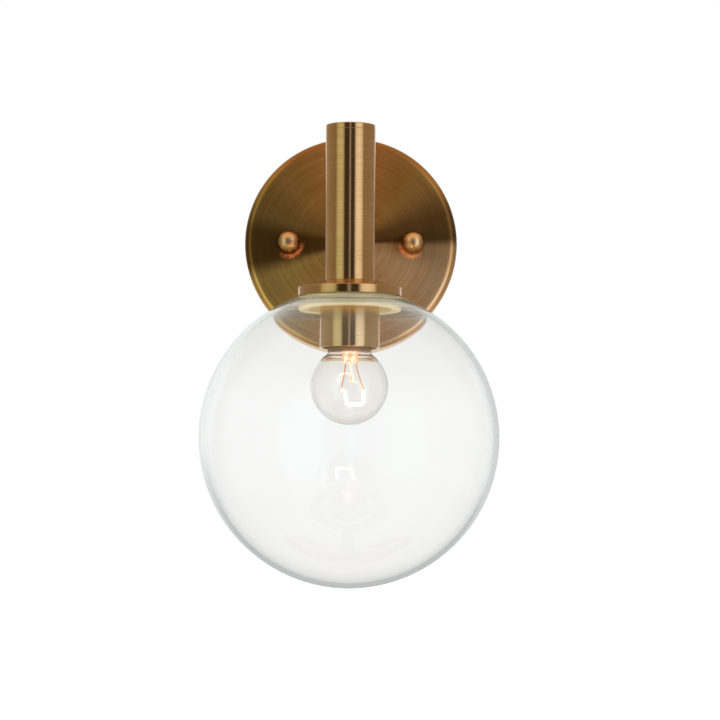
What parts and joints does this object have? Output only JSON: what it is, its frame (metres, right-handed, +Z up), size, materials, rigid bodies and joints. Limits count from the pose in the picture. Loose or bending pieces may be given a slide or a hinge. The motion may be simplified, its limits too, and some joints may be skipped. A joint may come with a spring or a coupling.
{
  "type": "wall sconce",
  "caption": "Wall light: round dished backplate with two ball knobs, an arm to an upright tube, and a clear glass globe hung below a low conical flange with a lit bulb.",
  "frame": {"origin": "centre of the wall plane behind the backplate", "axes": "+Z up, +Y into the wall, the front faces -Y, +X to the viewer's right"},
  "size_m": [0.15, 0.18, 0.2384],
  "materials": {
    "brushed_brass": "brushed, clear lacquer",
    "polished_brass": "polished",
    "raw_brass": "bare",
    "zinc_steel": "zinc plated",
    "green_screw": "green plated",
    "gasket_rubber": "matte",
    "clear_glass": "clear",
    "holder_ceramic": "unglazed",
    "bulb_glass": "clear",
    "nickel_shell": "rolled",
    "dark_glass": "gloss",
    "solder": "dull",
    "mount_glass": "clear",
    "lead_wire": "dull",
    "hot_filament": "glowing"
  },
  "bodies": {
    "fixture": {"backplate": "brushed_brass", "mounting_crossbar": "zinc_steel", "mounting_studs": "zinc_steel", "stud_lock_nuts": "zinc_steel", "ground_screw": "green_screw", "arm_tube": "brushed_brass", "arm_rear_nipple": "zinc_steel", "arm_rear_washer": "zinc_steel", "arm_rear_nut": "zinc_steel", "arm_front_nipple": "zinc_steel", "arm_saddle_washer": "zinc_steel", "arm_front_nut": "zinc_steel", "stem_tube": "brushed_brass", "stem_top_cap": "brushed_brass", "stem_end_plug": "raw_brass", "center_nipple": "zinc_steel", "shade_flange": "brushed_brass", "flange_lock_nut": "zinc_steel", "socket_cup": "brushed_brass", "cup_lock_nut": "zinc_steel", "holder_body": "holder_ceramic", "holder_screw_shell": "raw_brass", "holder_center_contact": "raw_brass"},
    "globe_thread": {"neck_gasket": "gasket_rubber"},
    "globe": {"glass_globe": "clear_glass"},
    "left_knob": {"ball_knob_left": "polished_brass"},
    "right_knob": {"ball_knob_right": "polished_brass"},
    "bulb": {"bulb_glass": "bulb_glass", "bulb_base_shell": "nickel_shell", "bulb_base_insulator": "dark_glass", "bulb_base_contact": "solder", "bulb_stem_press": "mount_glass", "bulb_support_rod": "mount_glass", "bulb_lead_wires": "lead_wire", "bulb_filament": "hot_filament"}
  },
  "joints": [
    {"name": "globe_drop", "type": "slide", "parent": "fixture", "child": "globe_thread", "axis": [0, 0, -1], "range_m": [0, 0.003]},
    {"name": "globe_turn", "type": "hinge", "parent": "globe_thread", "child": "globe", "pos_m": [0, -0.105, -0.1065], "axis": [0, 0, -1], "range_deg": [0, 360]},
    {"name": "left_knob_turn", "type": "hinge", "parent": "fixture", "child": "left_knob", "pos_m": [-0.03335, -0.022, 0], "axis": [0, -1, 0], "continuous": true},
    {"name": "right_knob_turn", "type": "hinge", "parent": "fixture", "child": "right_knob", "pos_m": [0.03335, -0.022, 0], "axis": [0, -1, 0], "continuous": true},
    {"name": "bulb_turn", "type": "hinge", "parent": "fixture", "child": "bulb", "pos_m": [0, -0.105, -0.0806], "axis": [0, 0, -1], "continuous": true}
  ],
  "couplings": [
    {"joint": "globe_drop", "follows": "globe_turn", "m_per_rad": 0.00047746}
  ]
}
